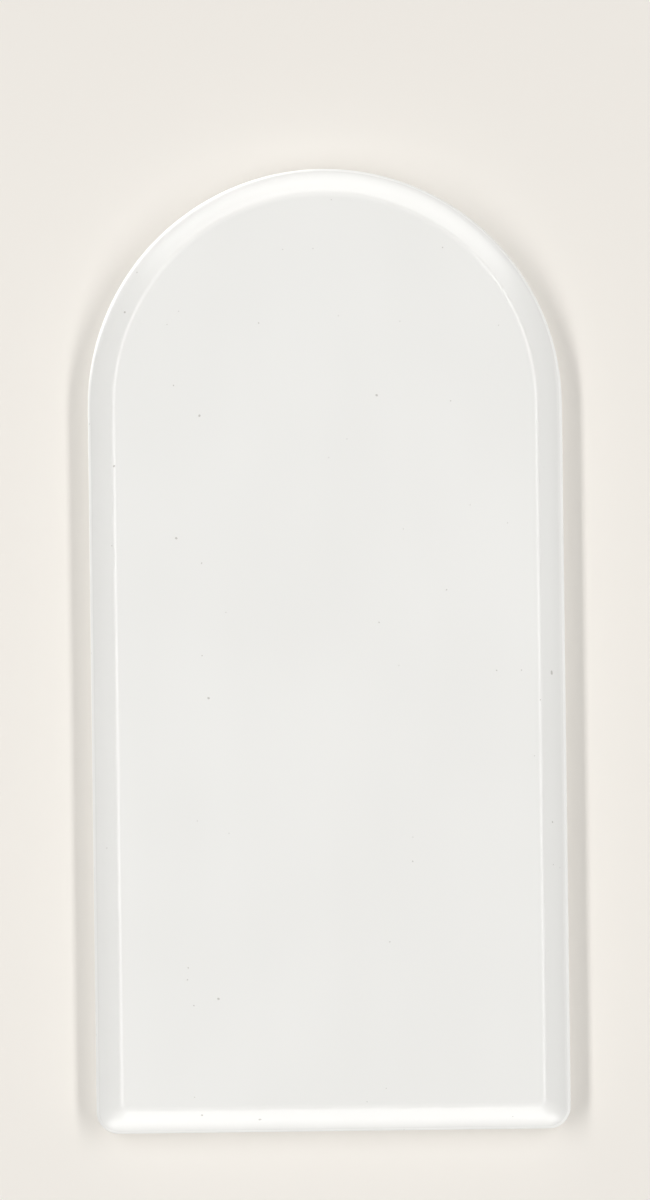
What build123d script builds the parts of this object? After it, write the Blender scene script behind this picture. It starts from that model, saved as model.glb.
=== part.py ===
"""Icing smoother: a white plastic smoothing plate with a hollow bow handle on its back.

The smoothing face lies at Z = 0 and looks down. The plate's arched end points along +Y, its square
end along -Y, and the tool is the same on both sides of the plane X = 0. The origin is the middle of
the tool's outline, on the smoothing face. All sizes are in millimetres.
"""
from build123d import *
import os
from math import asin, atan2, cos, degrees, hypot, radians, sin, sqrt, tan

# Smoothing plate
sole_length = 175.0
sole_width = 86.2
sole_height = 7.5
sole_floor = 2.4
square_end_corner = 4.0

# Bevelled rim, from the flat face out to the upright edge
rim_inset = 4.8
rim_rise = 4.2
rim_wall = 2.2
rim_top_bevel = 0.7
rim_outer_round = 4.2
rim_round_steps = 3
face_corner = 1.3

# Handle, outside
handle_length = 116.0
handle_height = 46.0
handle_shift = -4.0
grip_width = 26.0
grip_depth = 17.0
pillar_depth = 17.0
pillar_lean = 7.0
crown_radius = 250.0
shoulder_radius = 16.0
gap_corner = 8.0
palm_round = 8.0
finger_round = 4.5

# Handle, inside: the stepped seam between cover and base, and the webs under the palm
handle_wall = 2.4
seam_depth = 10.5
seam_gap = 0.3
tongue_height = 2.4
tongue_wall = 1.05
lap_clearance = 0.15
web_count = 5
web_wall = 1.6
web_spacing = 13.0

# Snap beads along the tongue, one in each bay between two webs
bead_length = 7.0
bead_height = 1.2
bead_proud = 0.35
bead_clearance = 0.1

# Feet, the collars that they stand in, and the staked studs that hold them
foot_floor = 2.5
foot_clearance = 0.2
collar_wall = 2.2
collar_height = 6.6
collar_bevel = 0.6
stud_diameter = 6.0
stud_clearance = 0.2
stud_head_diameter = 9.0
stud_head_height = 1.3

# Stiffening ribs on the back of the plate
rib_wall = 1.8
rib_height = 2.6
rib_round = 0.5

# How far a cutting shape reaches past what it cuts, and how near counts as the same place
beyond = 5.0
near = 0.02

# Places and slopes that follow from the sizes
arch_centre = (sole_length - sole_width) / 2
collar_top = sole_floor + collar_height
lean = radians(pillar_lean)
foot_middle = (handle_length - pillar_depth / cos(lean)) / 2
foot_places = [handle_shift - foot_middle, handle_shift + foot_middle]
tongue_skin = handle_wall - tongue_wall
rebate_skin = tongue_skin - lap_clearance


def edges_at(solid, height):
    """The edges of a solid that lie flat at one height."""
    def lies_flat(edge):
        box = edge.bounding_box()
        return abs(box.min.Z - height) < near and abs(box.max.Z - height) < near

    return [edge for edge in solid.edges() if lies_flat(edge)]


def layer(low, high):
    """Everything between two heights, wide enough to cut any piece with."""
    size = sole_length + sole_width
    return Pos(0, 0, low) * Box(size, size, high - low, align=(Align.CENTER, Align.CENTER, Align.MIN))


# The smoothing plate

def plate_outline(inset, corner, height):
    """The plate's outline drawn in by inset, with its square corners rounded, at one height."""
    half = sole_width / 2 - inset
    low = inset - sole_length / 2
    in_x = half - corner
    in_y = low + corner
    swing = corner * sin(radians(45))
    right = Line((half, in_y), (half, arch_centre))
    crown = ThreePointArc((half, arch_centre), (0, arch_centre + half), (-half, arch_centre))
    left = Line((-half, arch_centre), (-half, in_y))
    left_turn = ThreePointArc((-half, in_y), (-in_x - swing, in_y - swing), (-in_x, low))
    end = Line((-in_x, low), (in_x, low))
    right_turn = ThreePointArc((in_x, low), (in_x + swing, in_y - swing), (half, in_y))
    return Pos(0, 0, height) * make_face([right, crown, left, left_turn, end, right_turn])


def plate_slab():
    """The plate as a solid slab: bevel, the narrow bands that round it off, and upright edge."""
    turn = radians(90) - atan2(rim_rise, rim_inset)
    round_top = rim_rise + rim_outer_round * tan(turn / 2)
    sections = [plate_outline(rim_inset, face_corner, 0)]
    for step in range(rim_round_steps, -1, -1):
        swing = turn * step / rim_round_steps
        inset = rim_outer_round * (1 - cos(swing))
        height = round_top - rim_outer_round * sin(swing)
        corner = square_end_corner - (square_end_corner - face_corner) * inset / rim_inset
        sections.append(plate_outline(inset, corner, height))
    return loft(sections, ruled=True) + extrude(sections[-1], amount=sole_height - round_top)


def plate_hollow():
    """The shallow open back of the plate: its sloping foot follows the bevel, one wall inside it."""
    corner = square_end_corner - rim_wall
    wall_along = rim_wall * hypot(rim_inset, rim_rise) / rim_rise
    floor_inset = rim_inset * (1 - sole_floor / rim_rise) + wall_along
    slope_top = sole_floor + (floor_inset - rim_wall) * rim_rise / rim_inset
    low = plate_outline(floor_inset, corner, sole_floor)
    high = plate_outline(rim_wall, corner, slope_top)
    return loft([low, high], ruled=True) + extrude(high, amount=sole_height)


def ribs():
    """Low ribs on the plate's back, from each collar to the rim: one endways and one across."""
    made = Part()
    height = rib_height + sole_floor / 2
    for place in foot_places:
        outward = 1 if place > handle_shift else -1
        end_length = sole_length / 2 - outward * place
        endways = Pos(0, place + outward * end_length / 2, 0) * Box(rib_wall, end_length, height)
        across = Pos(0, place, 0) * Box(sole_width, rib_wall, height)
        made += endways + across
    made = Pos(0, 0, sole_floor + rib_height - height / 2) * made
    return fillet(edges_at(made, sole_floor + rib_height), rib_round)


def stud():
    """A moulded stud, staked to a flat round head over the floor of the foot."""
    from_below = (Align.CENTER, Align.CENTER, Align.MAX)
    from_above = (Align.CENTER, Align.CENTER, Align.MIN)
    shank = Cylinder(stud_diameter / 2, foot_floor + sole_floor / 2, align=from_below)
    head = Cylinder(stud_head_diameter / 2, stud_head_height, align=from_above)
    return Pos(0, 0, sole_floor + foot_floor) * (shank + head)


def make_sole():
    """The plate with its hollow back, the two collars, ribs and studs, in one moulding."""
    hollow = plate_hollow()
    collar = handle_form(-foot_clearance - collar_wall, sole_floor / 2) & layer(0, collar_top)
    socket = handle_form(-foot_clearance, sole_floor)
    sole = plate_slab() - hollow + collar + (ribs() & hollow) - socket
    sole = chamfer(edges_at(sole, collar_top), collar_bevel)
    sole = chamfer(edges_at(sole, sole_height), rim_top_bevel)
    for place in foot_places:
        sole += Pos(0, place, 0) * stud()
    return sole


# The bow handle

def bow(side_skin, top_skin, corner, foot):
    """Side view of the bow's outline, drawn in from its pillars and crown, down to height foot."""
    centre = handle_height - crown_radius
    radius = crown_radius - top_skin
    reach = handle_length / 2 + sole_floor * tan(lean) - side_skin / cos(lean)
    # the height at which the leaning side meets the crown
    a = 1 + tan(lean) ** 2
    b = reach * tan(lean) + centre
    c = reach**2 + centre**2 - radius**2
    top = (b + sqrt(b * b - a * c)) / a
    side = reach - top * tan(lean)
    low = reach - foot * tan(lean)
    outline = make_face(
        [
            Line((-low, foot), (low, foot)),
            Line((low, foot), (side, top)),
            ThreePointArc((side, top), (0, centre + radius), (-side, top)),
            Line((-side, top), (-low, foot)),
        ]
    )
    shoulders = [vertex for vertex in outline.vertices() if vertex.Y > (foot + top) / 2]
    return Pos(0, handle_shift, 0) * (Plane.YZ * fillet(shoulders, corner))


def within(depth):
    """All that lies deeper than depth under the palm side of the bow, wide enough to cut with."""
    outline = bow(depth, depth, shoulder_radius - depth, -beyond)
    return extrude(outline, amount=grip_width, both=True)


def handle_form(skin, foot, soften=fillet, share=1.0):
    """The bow drawn in by skin all over, or grown where skin is negative, down to height foot.

    Its long edges are softened by fillet, or by chamfer with share of the rounding.
    """
    half = grip_width / 2 - skin
    outer = extrude(bow(skin, skin, shoulder_radius - skin, foot), amount=half, both=True)
    gap = bow(pillar_depth - skin, grip_depth - skin, gap_corner + skin, foot - beyond)
    form = outer - extrude(gap, amount=grip_width, both=True)
    heart = within(grip_depth / 2)

    def long_edges(solid, finger_side):
        """The edges that run from foot to foot, on the finger side or the palm side."""
        found = []
        for edge in solid.edges():
            on_side = abs(abs(edge.center().X) - half) < near and edge.bounding_box().max.Z > foot + near
            if on_side and heart.is_inside(edge @ 0.5) == finger_side:
                found.append(edge)
        return found

    form = soften(long_edges(form, True), (finger_round - skin) * share)
    return soften(long_edges(form, False), (palm_round - skin) * share)


def inner_form(skin, foot):
    """The same bow inside the handle, where bevels stand in for rounding of the same depth."""
    return handle_form(skin, foot, chamfer, 2 - sqrt(2))


def crown_station(along, depth):
    """Height, and slope in degrees, of the line that lies depth under the crown."""
    radius = crown_radius - depth
    height = handle_height - crown_radius + sqrt(radius**2 - along**2)
    return height, -degrees(asin(along / radius))


def beads(clearance):
    """Wedge beads on the sides of the tongue, or their grooves where clearance is more than 0."""
    made = Part()
    face = grip_width / 2 - tongue_skin
    half = bead_height / 2 + clearance
    back = face - tongue_wall / 2
    tip = face + bead_proud + clearance
    outline = Polyline((back, -half), (face, -half), (tip, 0), (face, half), (back, half), close=True)
    bead = extrude(Plane.XZ * make_face(outline), amount=bead_length / 2 + clearance, both=True)
    bead += mirror(bead, about=Plane.YZ)
    for bay in range(web_count - 1):
        along = (bay - (web_count - 2) / 2) * web_spacing
        height, slope = crown_station(along, seam_depth - tongue_height / 2)
        made += Pos(0, handle_shift + along, height) * Rot(slope, 0, 0) * bead
    return made


def side_strips(skin, depth):
    """What the side walls hold further in than skin, from depth to a tongue's height past the seam."""
    strip = Box(handle_wall - skin, handle_length, handle_height, align=(Align.MAX, Align.CENTER, Align.MIN))
    strip = Pos(grip_width / 2 - skin, handle_shift, sole_floor) * strip
    strips = strip + mirror(strip, about=Plane.YZ)
    return strips & within(depth) - within(seam_depth + tongue_height)


def make_handle():
    """The two shells of the handle: the base under the fingers and the cover under the palm."""
    outside = handle_form(0, sole_floor)
    inside = inner_form(handle_wall, sole_floor - beyond)
    shell = outside - inside
    tongue_depth = seam_depth - tongue_height

    foot_layer = layer(sole_floor, sole_floor + foot_floor)
    base = shell & within(seam_depth)
    base += side_strips(tongue_skin, tongue_depth) + beads(0)
    base += inner_form(handle_wall + foot_clearance, sole_floor) & foot_layer
    base += inside & foot_layer & within(seam_depth)
    webs = Part()
    for number in range(web_count):
        step = (number - (web_count - 1) / 2) * web_spacing
        webs += Pos(0, handle_shift + step, 0) * Box(2 * grip_width, web_wall, 2 * handle_height)
    base += webs & inside & within(seam_depth)
    for place in foot_places:
        base -= Pos(0, place, sole_floor) * Cylinder(stud_diameter / 2 + stud_clearance, 2 * beyond)

    cover = shell - within(seam_depth - seam_gap)
    cover -= side_strips(rebate_skin, tongue_depth) + beads(bead_clearance)
    return base, cover


def write(name, shape):
    """One piece to its own file, under its own name."""
    shape.label = name
    export_step(shape, f"parts/{name}.step")


os.makedirs("parts", exist_ok=True)
handle_base, handle_cover = make_handle()
write("sole", make_sole())
write("handle_base", handle_base)
write("handle_cover", handle_cover)
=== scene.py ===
"""Looks of the icing smoother: a bevelled white plate with a bow handle on its back.

The handle's two CAD nodes keep their shape and get a moulded plastic. The CAD sole is replaced by
meshes on the same sizes, with the small roundings that a moulding has. Sizes of the tool are in
millimetres until they become points, and everything else is in metres.
"""
import math

import bpy
from mathutils import Matrix, Vector


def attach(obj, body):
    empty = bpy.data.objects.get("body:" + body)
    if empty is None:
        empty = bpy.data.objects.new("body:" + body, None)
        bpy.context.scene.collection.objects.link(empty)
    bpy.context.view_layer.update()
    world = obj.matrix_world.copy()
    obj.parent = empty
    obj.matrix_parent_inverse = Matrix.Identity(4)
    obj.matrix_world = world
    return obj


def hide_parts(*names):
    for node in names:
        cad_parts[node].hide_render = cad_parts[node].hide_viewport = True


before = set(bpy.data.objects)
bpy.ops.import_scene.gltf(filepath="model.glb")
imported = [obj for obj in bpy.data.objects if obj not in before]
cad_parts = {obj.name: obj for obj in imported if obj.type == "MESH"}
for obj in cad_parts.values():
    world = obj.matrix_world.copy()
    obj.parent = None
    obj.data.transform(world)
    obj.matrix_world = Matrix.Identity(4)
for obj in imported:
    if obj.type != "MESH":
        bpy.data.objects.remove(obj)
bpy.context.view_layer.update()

bpy.context.scene.view_settings.view_transform = "Standard"
MM = 0.001

# Plate, as in the CAD sole
SOLE_LENGTH = 175.0
SOLE_WIDTH = 86.2
SOLE_HEIGHT = 7.5
SOLE_FLOOR = 2.4
SQUARE_END_CORNER = 4.0
FACE_CORNER = 1.3
RIM_INSET = 4.8
RIM_RISE = 4.2
RIM_WALL = 2.2

# What follows from the plate's sizes
ARCH_CENTRE = (SOLE_LENGTH - SOLE_WIDTH) / 2
BEVEL_LENGTH = math.hypot(RIM_INSET, RIM_RISE)
BEVEL_SLOPE = RIM_INSET / RIM_RISE
TRAY_INSET = RIM_INSET - SOLE_FLOOR * BEVEL_SLOPE + RIM_WALL * BEVEL_LENGTH / RIM_RISE

# Rounding of the plate's profile
FACE_EDGE_ROUND = 2.0
BEVEL_SWELL = 0.22
BEVEL_ROUND = 16.0
RIM_OUTER_ROUND = 4.2
RIM_TOP_ROUND = 0.75
TRAY_EDGE_ROUND = 1.2
TRAY_FLOOR_ROUND = 2.0
PROFILE_REACH = 8.0

# Handle and its feet, as in the CAD handle
HANDLE_LENGTH = 116.0
HANDLE_SHIFT = -4.0
GRIP_WIDTH = 26.0
PILLAR_DEPTH = 17.0
LEAN = math.radians(7.0)
PALM_ROUND = 8.0
FINGER_ROUND = 4.5
FOOT_MIDDLE = (HANDLE_LENGTH - PILLAR_DEPTH / math.cos(LEAN)) / 2
FOOT_FLOOR = 2.5

# Collars round the feet
FOOT_CLEARANCE = 0.2
COLLAR_WALL = 2.2
COLLAR_TOP = 9.0
COLLAR_FLARE = 1.1
COLLAR_SKIRT = 3.0
COLLAR_ROUND = 0.7

# Ribs, from inside the collar's wall to inside the rim's
RIB_WALL = 1.8
RIB_TOP = 5.0
RIB_FLARE = 0.9
RIB_SKIRT = 1.6
RIB_ROUND = 0.6
RIB_START = 1.0
RIB_INTO_WALL = 0.7

# Studs
STUD_RADIUS = 3.0
STUD_HEAD_RADIUS = 4.5
STUD_HEAD_HEIGHT = 1.3
STUD_HEAD_ROUND = 0.5
STUD_TOP_RADIUS = STUD_HEAD_RADIUS - 2.0

# How deep flares, and the roots of what stands on the plate's back, lie under its floor
FLARE_SINK = 0.02
COLLAR_ROOT = 0.4
RIB_ROOT = 0.5
STUD_ROOT = 0.4

# Fineness of the meshes; beside each rounding an extra point keeps the shading of the flats flat
ARCH_STEPS = 112
CORNER_STEPS = 12
SIDE_STEPS = 10
FOOT_SIDE_STEPS = 2
RIB_STEPS = 6
STUD_STEPS = 36
ROUND_STEPS = 7
GUARD = 0.12

# Colours: the plastic, its dark specks, and the stage
WHITE = (0.875, 0.868, 0.84)
WHITE_SHADE = (0.85, 0.843, 0.815)
SPECK = (0.34, 0.31, 0.27)
BACKDROP = (0.95, 0.91, 0.85)
FLOOR = (0.70, 0.69, 0.67)
ROOM = (0.80, 0.79, 0.77)

# Plastic: noise scales are per metre, depths in millimetres
CLOUD_SCALE = 30
CLOUD_LOW = 0.25
CLOUD_HIGH = 0.75
FLOW_SCALE = 70
FLOW_STRETCH = (1.0, 0.25, 1.0)
FLOW_SHARE = 0.4
SPECK_SCALE = 900
SPECK_LEVEL = 0.90
SPECK_EDGE = 0.02
SPECK_STRENGTH = 0.5
SINK_SCALE = 30
SINK_DEPTH = 0.06
POLISHED = 0.25
MATT = 0.42
POLISHED_GRAIN = 0.5
PARTING_HALF = 0.5
IOR = 1.49

# Stage, in metres: the floor lies just above the smoothing face, the backdrop just above the rim
FLOOR_SIZE = 12.0
FLOOR_HEIGHT = 0.0003
FADE_START = 0.15
FADE_END = 1.6
BACKDROP_SIZE = 1.2
BACKDROP_HEIGHT = 0.0085
WORLD_LEVEL = 0.275


# Profiles and rings

def rounded_path(corners):
    """Points along a line whose corners, given as (across, height, radius), are rounded off."""
    points = []
    for index, (across, height, radius) in enumerate(corners):
        here = Vector((across, height))
        if not radius:
            points.append(here)
            continue
        back = (Vector(corners[index - 1][:2]) - here).normalized()
        on = (Vector(corners[index + 1][:2]) - here).normalized()
        half = back.angle(on) / 2
        reach = radius / math.tan(half)
        centre = here + (back + on).normalized() * radius / math.sin(half)
        first = here + back * reach - centre
        last = here + on * reach - centre
        sweep = first.angle(last)
        points.append(here + back * (reach + GUARD))
        for step in range(ROUND_STEPS + 1):
            turn = sweep * step / ROUND_STEPS
            spoke = (first * math.sin(sweep - turn) + last * math.sin(turn)) / math.sin(sweep)
            points.append(centre + spoke)
        points.append(here + on * (reach + GUARD))
    return points


def arc(centre_x, centre_y, radius, start, end, steps):
    """Points on an arc from start to end in degrees, without its first point."""
    made = []
    for step in range(1, steps + 1):
        angle = math.radians(start + (end - start) * step / steps)
        made.append((centre_x + radius * math.cos(angle), centre_y + radius * math.sin(angle)))
    return made


def run(start, end, steps):
    """Points on a straight line from start to end, without its first point."""
    return [
        (start[0] + (end[0] - start[0]) * step / steps, start[1] + (end[1] - start[1]) * step / steps)
        for step in range(1, steps + 1)
    ]


def plate_ring(inset, height):
    """The plate's outline drawn in by inset, at one height, counterclockwise from above."""
    corner = max(SQUARE_END_CORNER - (SQUARE_END_CORNER - FACE_CORNER) * inset / RIM_INSET, FACE_CORNER)
    half = SOLE_WIDTH / 2 - inset
    low = inset - SOLE_LENGTH / 2
    turn_x = half - corner
    turn_y = low + corner
    ring = run((half, turn_y), (half, ARCH_CENTRE), SIDE_STEPS)
    ring += arc(0, ARCH_CENTRE, half, 0, 180, ARCH_STEPS)
    ring += run((-half, ARCH_CENTRE), (-half, turn_y), SIDE_STEPS)
    ring += arc(-turn_x, turn_y, corner, 180, 270, CORNER_STEPS)
    ring += run((-turn_x, low), (turn_x, low), SIDE_STEPS)
    ring += arc(turn_x, turn_y, corner, 270, 360, CORNER_STEPS)
    return [(x * MM, y * MM, height * MM) for x, y in ring]


def foot_ring(outward, skin, height):
    """A pillar's section at one height, drawn in by skin or grown where skin is negative."""
    half = GRIP_WIDTH / 2 - skin
    slope = height * math.tan(LEAN)
    reach = HANDLE_LENGTH / 2 + SOLE_FLOOR * math.tan(LEAN)
    far = reach - skin / math.cos(LEAN) - slope
    near = reach - (PILLAR_DEPTH - skin) / math.cos(LEAN) - slope
    big = PALM_ROUND - skin
    small = FINGER_ROUND - skin
    ring = run((half, near + small), (half, far - big), FOOT_SIDE_STEPS)
    ring += arc(half - big, far - big, big, 0, 90, CORNER_STEPS)
    ring += run((half - big, far), (big - half, far), FOOT_SIDE_STEPS)
    ring += arc(big - half, far - big, big, 90, 180, CORNER_STEPS)
    ring += run((-half, far - big), (-half, near + small), FOOT_SIDE_STEPS)
    ring += arc(small - half, near + small, small, 180, 270, CORNER_STEPS)
    ring += run((small - half, near), (half - small, near), FOOT_SIDE_STEPS)
    ring += arc(half - small, near + small, small, 270, 360, CORNER_STEPS)
    return [(x * MM, (HANDLE_SHIFT + outward * y) * MM, height * MM) for x, y in ring]


def skin_over(name, rings, closed=False, flip=False):
    """A smooth mesh over rings of equal length; its ends are capped, or joined where it is closed."""
    count = len(rings[0])
    vertices = [point for ring in rings for point in ring]
    faces = []
    last = len(rings) if closed else len(rings) - 1
    for row in range(last):
        low = row * count
        high = (row + 1) % len(rings) * count
        for i in range(count):
            j = (i + 1) % count
            faces.append((low + i, low + j, high + j, high + i))
    if not closed:
        faces.append(tuple(reversed(range(count))))
        top = (len(rings) - 1) * count
        faces.append(tuple(range(top, top + count)))
    if flip:
        faces = [tuple(reversed(face)) for face in faces]
    mesh = bpy.data.meshes.new(name)
    mesh.from_pydata(vertices, [], faces)
    mesh.shade_smooth()
    mesh.validate()
    made = bpy.data.objects.new(name, mesh)
    bpy.context.scene.collection.objects.link(made)
    return made


# The plate and what stands on its back

def make_plate():
    """The plate with its slightly swelled bevel, its rim and its shallow open back, in one closed skin."""
    swell_inset = RIM_INSET / 2 - BEVEL_SWELL * RIM_RISE / BEVEL_LENGTH
    swell_height = RIM_RISE / 2 - BEVEL_SWELL * RIM_INSET / BEVEL_LENGTH
    tray_edge = SOLE_FLOOR + (TRAY_INSET - RIM_WALL) / BEVEL_SLOPE
    profile = rounded_path(
        [
            (RIM_INSET + PROFILE_REACH, 0, 0),
            (RIM_INSET, 0, FACE_EDGE_ROUND),
            (swell_inset, swell_height, BEVEL_ROUND),
            (0, RIM_RISE, RIM_OUTER_ROUND),
            (0, SOLE_HEIGHT, RIM_TOP_ROUND),
            (RIM_WALL, SOLE_HEIGHT, RIM_TOP_ROUND),
            (RIM_WALL, tray_edge, TRAY_EDGE_ROUND),
            (TRAY_INSET, SOLE_FLOOR, TRAY_FLOOR_ROUND),
            (TRAY_INSET + PROFILE_REACH, SOLE_FLOOR, 0),
        ]
    )
    return skin_over("plate", [plate_ring(inset, height) for inset, height in profile])


def make_collar(name, outward):
    """A collar that a foot stands in, flared where it meets the plate and rounded at its top."""
    outer = -FOOT_CLEARANCE - COLLAR_WALL
    flare = SOLE_FLOOR - FLARE_SINK
    root = SOLE_FLOOR - COLLAR_ROOT
    profile = rounded_path(
        [
            (outer - COLLAR_SKIRT, flare, 0),
            (outer, flare, COLLAR_FLARE),
            (outer, COLLAR_TOP, COLLAR_ROUND),
            (-FOOT_CLEARANCE, COLLAR_TOP, COLLAR_ROUND),
            (-FOOT_CLEARANCE, root, 0),
            (outer - COLLAR_SKIRT, root, 0),
        ]
    )
    rings = [foot_ring(outward, skin, height) for skin, height in profile]
    return skin_over(name, rings, closed=True, flip=outward < 0)


def rib_section():
    """A rib's section as (across, height), from its root on one side over its top to the other."""
    flare = SOLE_FLOOR - FLARE_SINK
    half = rounded_path(
        [
            (RIB_WALL / 2 + RIB_SKIRT, flare, 0),
            (RIB_WALL / 2, flare, RIB_FLARE),
            (RIB_WALL / 2, RIB_TOP, RIB_ROUND),
            (0, RIB_TOP, 0),
        ]
    )
    foot = half[0].x
    root = SOLE_FLOOR - RIB_ROOT
    mirrored = [Vector((-point.x, point.y)) for point in reversed(half[:-1])]
    return [Vector((foot, root))] + half + mirrored + [Vector((-foot, root))]


def make_rib(name, start, end):
    """A rib on the plate's back, from start to end, where it leans with the bevel."""
    start = Vector(start)
    end = Vector(end)
    along = (end - start).normalized()
    side = Vector((-along.y, along.x))
    section = rib_section()
    rings = []
    for base, slope in ((start, 0), (end, BEVEL_SLOPE)):
        ring = []
        for across, height in section:
            place = base + side * across + along * slope * (height - SOLE_FLOOR)
            ring.append((place.x * MM, place.y * MM, height * MM))
        rings.append(ring)
    between = [
        [tuple(a + (b - a) * step / RIB_STEPS for a, b in zip(p, q)) for p, q in zip(*rings)]
        for step in range(RIB_STEPS + 1)
    ]
    return skin_over(name, between)


def make_stud(name, place):
    """The stud in a foot, with its staked head on the foot's floor."""
    floor = SOLE_FLOOR + FOOT_FLOOR
    top = floor + STUD_HEAD_HEIGHT
    profile = rounded_path(
        [
            (STUD_RADIUS, SOLE_FLOOR - STUD_ROOT, 0),
            (STUD_RADIUS, floor, 0),
            (STUD_HEAD_RADIUS, floor, 0),
            (STUD_HEAD_RADIUS, top, STUD_HEAD_ROUND),
            (STUD_TOP_RADIUS, top, 0),
        ]
    )
    rings = []
    for radius, height in profile:
        circle = arc(0, place, radius, 0, 360, STUD_STEPS)
        rings.append([(x * MM, y * MM, height * MM) for x, y in circle])
    return skin_over(name, rings)


def make_sole_pieces():
    """Every piece that stands for the CAD sole."""
    made = [make_plate()]
    foot_end = FOOT_MIDDLE + PILLAR_DEPTH / 2 + RIB_START
    foot_side = GRIP_WIDTH / 2 + RIB_START
    rim_end = SOLE_LENGTH / 2 - (TRAY_INSET - RIB_INTO_WALL)
    rim_side = SOLE_WIDTH / 2 - (TRAY_INSET - RIB_INTO_WALL)
    for end_name, outward in (("arch", 1), ("square", -1)):
        place = HANDLE_SHIFT + outward * FOOT_MIDDLE
        near = HANDLE_SHIFT + outward * foot_end
        far = outward * rim_end
        made.append(make_collar(f"collar_{end_name}", outward))
        made.append(make_stud(f"stud_{end_name}", place))
        made.append(make_rib(f"rib_end_{end_name}", (0, near), (0, far)))
        made.append(make_rib(f"rib_left_{end_name}", (-foot_side, place), (-rim_side, place)))
        made.append(make_rib(f"rib_right_{end_name}", (foot_side, place), (rim_side, place)))
    for piece in made:
        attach(piece, "root")
        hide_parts("sole")
    return made


# Materials

class Nodes:
    """Adds and joins the nodes of one material or world."""

    def __init__(self, tree):
        self.tree = tree
        tree.nodes.clear()

    def add(self, kind, values=None, **settings):
        """A node with these settings; a value that is another node's socket is linked, not set."""
        node = self.tree.nodes.new(kind)
        for key, value in settings.items():
            setattr(node, key, value)
        for key, value in (values or {}).items():
            if isinstance(value, bpy.types.NodeSocket):
                self.tree.links.new(value, node.inputs[key])
            else:
                node.inputs[key].default_value = value
        return node

    def ramp(self, source, low, high):
        """Where source goes from low to high, the output goes smoothly from 0 to 1."""
        values = {"Value": source, "From Min": low, "From Max": high}
        return self.add("ShaderNodeMapRange", values, interpolation_type="SMOOTHSTEP").outputs["Result"]

    def blend(self, share, low, high):
        """A number that goes from low to high as share goes from 0 to 1."""
        values = {"Value": share, "To Min": low, "To Max": high}
        return self.add("ShaderNodeMapRange", values).outputs["Result"]

    def math(self, operation, first, second):
        """The result of one sum on two numbers."""
        return self.add("ShaderNodeMath", {0: first, 1: second}, operation=operation).outputs["Value"]

    def mix(self, share, first, second):
        """A colour that goes from first to second as share goes from 0 to 1."""
        share_socket, first_socket, second_socket, result_socket = 0, 6, 7, 2
        values = {share_socket: share, first_socket: first, second_socket: second}
        return self.add("ShaderNodeMix", values, data_type="RGBA").outputs[result_socket]


def new_material(name):
    """An empty material and its nodes."""
    material = bpy.data.materials.new(name)
    material.use_nodes = True
    return material, Nodes(material.node_tree)


def plastic(name, grain_size, grain_depth, specks, polished_face=False):
    """Moulded white plastic: slow clouding, flow lines, dark specks, mould grain and shallow sinks.

    grain_size and grain_depth are in millimetres, and a larger specks shows more of them. A polished
    face is smooth up to the top of the bevel.
    """
    material, nodes = new_material(name)
    place = nodes.add("ShaderNodeTexCoord").outputs["Object"]

    def noise(scale, detail, roughness=0.5, vector=place):
        values = {"Vector": vector, "Scale": scale, "Detail": detail, "Roughness": roughness}
        return nodes.add("ShaderNodeTexNoise", values).outputs["Fac"]

    # slow clouding of the colour, with flow lines along the tool
    mapping = nodes.add("ShaderNodeMapping", {"Vector": place, "Scale": FLOW_STRETCH})
    flow = noise(FLOW_SCALE, detail=1.0, vector=mapping.outputs["Vector"])
    clouds = nodes.mix(FLOW_SHARE, noise(CLOUD_SCALE, detail=1.0), flow)
    clouds = nodes.ramp(clouds, CLOUD_LOW, CLOUD_HIGH)
    base = nodes.mix(clouds, (*WHITE_SHADE, 1), (*WHITE, 1))

    # tiny dark inclusions and dust, few and far between
    level = SPECK_LEVEL - specks
    spots = nodes.ramp(noise(SPECK_SCALE, detail=0.0), level, level + SPECK_EDGE)
    base = nodes.mix(nodes.math("MULTIPLY", spots, SPECK_STRENGTH), base, (*SPECK, 1))

    # the smoothing face and its bevel come from a polished mould half, the rest from a matt one
    roughness = MATT
    depth = grain_depth * MM
    if polished_face:
        height = nodes.add("ShaderNodeSeparateXYZ", {"Vector": place}).outputs["Z"]
        matt = nodes.ramp(height, (RIM_RISE - PARTING_HALF) * MM, (RIM_RISE + PARTING_HALF) * MM)
        roughness = nodes.blend(matt, POLISHED, MATT)
        depth = nodes.blend(matt, depth * POLISHED_GRAIN, depth)

    def bump(distance, height, **under):
        values = {"Strength": 1.0, "Distance": distance, "Height": height, **under}
        return nodes.add("ShaderNodeBump", values).outputs["Normal"]

    grain = bump(depth, noise(1.0 / (grain_size * MM), detail=2.0, roughness=0.6))
    surface = bump(SINK_DEPTH * MM, noise(SINK_SCALE, detail=1.0, roughness=0.4), Normal=grain)
    values = {"Base Color": base, "Roughness": roughness, "IOR": IOR, "Normal": surface}
    shader = nodes.add("ShaderNodeBsdfPrincipled", values)
    nodes.add("ShaderNodeOutputMaterial", {"Surface": shader.outputs["BSDF"]})
    return material


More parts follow.
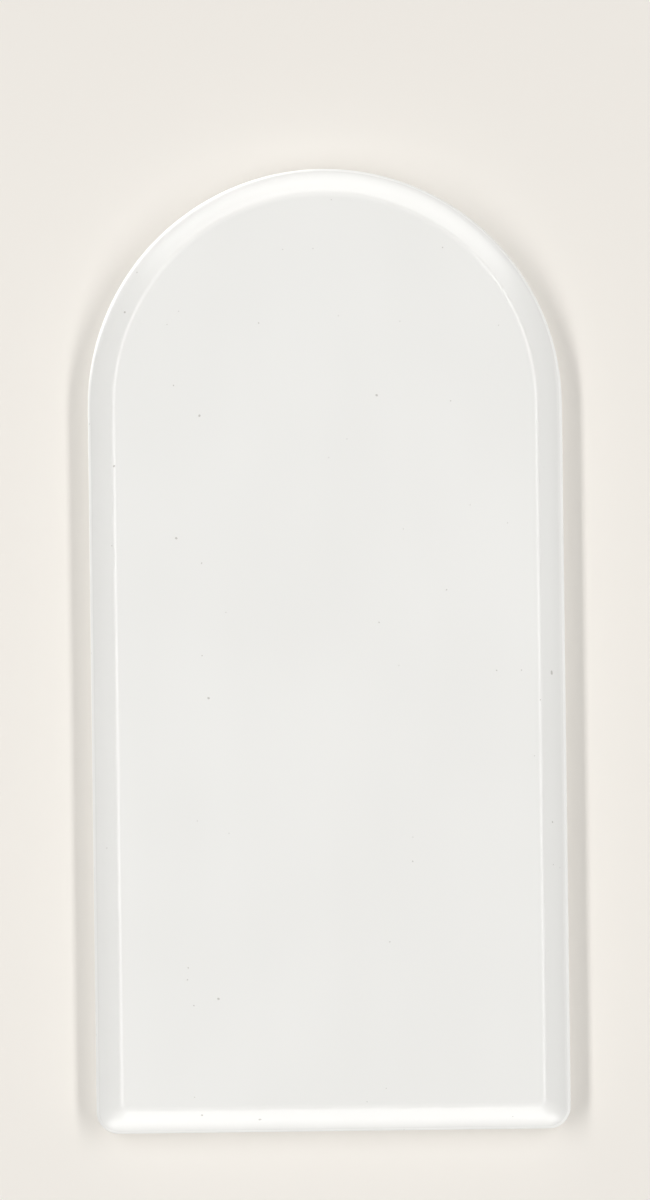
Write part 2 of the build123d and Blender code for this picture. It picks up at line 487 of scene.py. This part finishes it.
def seen_from_front_only(name, colour, far=None):
    """A matt stage colour that only the camera sees, from its front side.

    Where far is given, the colour fades to it away from the tool, so that no horizon shows.
    """
    material, nodes = new_material(name)
    surface = nodes.add("ShaderNodeBsdfDiffuse", {"Color": (*colour, 1)}).outputs["BSDF"]
    if far:
        place = nodes.add("ShaderNodeTexCoord").outputs["Object"]
        away = nodes.add("ShaderNodeVectorMath", {0: place}, operation="LENGTH").outputs["Value"]
        glow = nodes.add("ShaderNodeEmission", {"Color": (*far, 1)}).outputs["Emission"]
        faded = nodes.ramp(away, FADE_START, FADE_END)
        surface = nodes.add("ShaderNodeMixShader", {0: faded, 1: surface, 2: glow}).outputs["Shader"]
    camera = nodes.add("ShaderNodeLightPath").outputs["Is Camera Ray"]
    behind = nodes.add("ShaderNodeNewGeometry").outputs["Backfacing"]
    shown = nodes.math("SUBTRACT", camera, behind)
    clear = nodes.add("ShaderNodeBsdfTransparent").outputs["BSDF"]
    mixed = nodes.add("ShaderNodeMixShader", {0: shown, 1: clear, 2: surface}).outputs["Shader"]
    nodes.add("ShaderNodeOutputMaterial", {"Surface": mixed})
    return material


# Stage, lamps and camera

def stage_plane(name, size, height, upward, material):
    """A square stage plane at one height that faces up or down."""
    half = size / 2
    corners = [(-half, -half, 0), (half, -half, 0), (half, half, 0), (-half, half, 0)]
    mesh = bpy.data.meshes.new(name)
    mesh.from_pydata(corners, [], [(0, 1, 2, 3) if upward else (3, 2, 1, 0)])
    mesh.materials.append(material)
    made = bpy.data.objects.new(name, mesh)
    made.location = (0, 0, height)
    bpy.context.scene.collection.objects.link(made)


def panel(name, place, size, level, receivers=None):
    """A soft lamp panel, level times as bright as white, that faces the middle of the tool.

    It lights everything, or only the collection in receivers.
    """
    lamp = bpy.data.lights.new(name, "AREA")
    lamp.shape = "RECTANGLE"
    lamp.size, lamp.size_y = size
    lamp.energy = level * math.pi * size[0] * size[1]
    made = bpy.data.objects.new(name, lamp)
    made.location = place
    made.rotation_mode = "QUATERNION"
    made.rotation_quaternion = Vector(place).to_track_quat("Z", "Y")
    bpy.context.scene.collection.objects.link(made)
    if receivers:
        made.light_linking.receiver_collection = receivers


def make_world(level, pale):
    """Even light from all round; the camera and what is glossy or clear see a plain pale room."""
    world = bpy.data.worlds.new("studio")
    bpy.context.scene.world = world
    world.use_nodes = True
    nodes = Nodes(world.node_tree)
    light = nodes.add("ShaderNodeBackground", {"Color": (1, 1, 1, 1), "Strength": level})
    room = nodes.add("ShaderNodeBackground", {"Color": (*pale, 1), "Strength": 1.0})
    path = nodes.add("ShaderNodeLightPath")
    seen = nodes.math("MAXIMUM", path.outputs["Is Camera Ray"], path.outputs["Is Transmission Ray"])
    seen = nodes.math("MAXIMUM", seen, path.outputs["Is Glossy Ray"])
    sockets = {0: seen, 1: light.outputs["Background"], 2: room.outputs["Background"]}
    mixed = nodes.add("ShaderNodeMixShader", sockets)
    nodes.add("ShaderNodeOutputWorld", {"Surface": mixed.outputs["Shader"]})


def make_camera():
    """The photograph's view: square on to the smoothing face from far off, a little rolled."""
    distance = 1.2
    frame_height = 0.2172
    sensor = 36.0
    roll = 0.0125
    raised = 0.0091
    shifted = 0.00052
    far_end = 100.0
    right = Vector((-math.cos(roll), -math.sin(roll), 0))
    up = Vector((-math.sin(roll), math.cos(roll), 0))
    back = Vector((0, 0, -1))
    aim = up * raised - right * shifted
    data = bpy.data.cameras.new("camera")
    data.sensor_width = sensor
    data.lens = sensor * distance / frame_height
    data.clip_end = far_end
    camera = bpy.data.objects.new("camera", data)
    axes = Matrix((right, up, back)).transposed()
    camera.matrix_world = Matrix.Translation(aim + back * distance) @ axes.to_4x4()
    bpy.context.scene.collection.objects.link(camera)
    bpy.context.scene.camera = camera


def dress(pieces, material, collection):
    """Gives the pieces one material and adds them to a collection."""
    for piece in pieces:
        piece.data.materials.clear()
        piece.data.materials.append(material)
        collection.objects.link(piece)


tool = bpy.data.collections.new("tool")
sole_plastic = plastic(
    "sole_plastic_moulded", grain_size=0.45, grain_depth=0.014, specks=0.03, polished_face=True
)
handle_plastic = plastic("handle_plastic_moulded", grain_size=0.35, grain_depth=0.012, specks=0.02)
dress(make_sole_pieces(), sole_plastic, tool)
dress([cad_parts[name] for name in ("handle_base", "handle_cover")], handle_plastic, tool)

floor_matt = seen_from_front_only("floor_matt", FLOOR, ROOM)
backdrop_matt = seen_from_front_only("backdrop_matt", BACKDROP)
stage_plane("floor", FLOOR_SIZE, FLOOR_HEIGHT, True, floor_matt)
stage_plane("backdrop", BACKDROP_SIZE, BACKDROP_HEIGHT, False, backdrop_matt)

# low panels beyond both ends make the end bevels the brightest, narrow ones light the face from below
panel("low_arch_left", (0.27, 0.64, -0.07), (0.62, 0.20), 2.85, tool)
panel("low_arch_right", (-0.31, 0.62, -0.07), (0.66, 0.20), 3.1, tool)
panel("low_square_end", (0, -0.70, -0.07), (1.2, 0.20), 3.45, tool)
panel("under_left", (0.45, 0, -0.54), (1.0, 0.09), 9.8)
panel("under_right", (-0.45, 0, -0.54), (1.0, 0.09), 8.65)

# two panels above light the handle and the back
panel("key", (0.85, 0.90, 1.62), (1.5, 1.5), 3.4)
panel("fill", (-1.40, -0.50, 1.60), (2.4, 2.4), 0.7)
make_world(WORLD_LEVEL, ROOM)
make_camera()
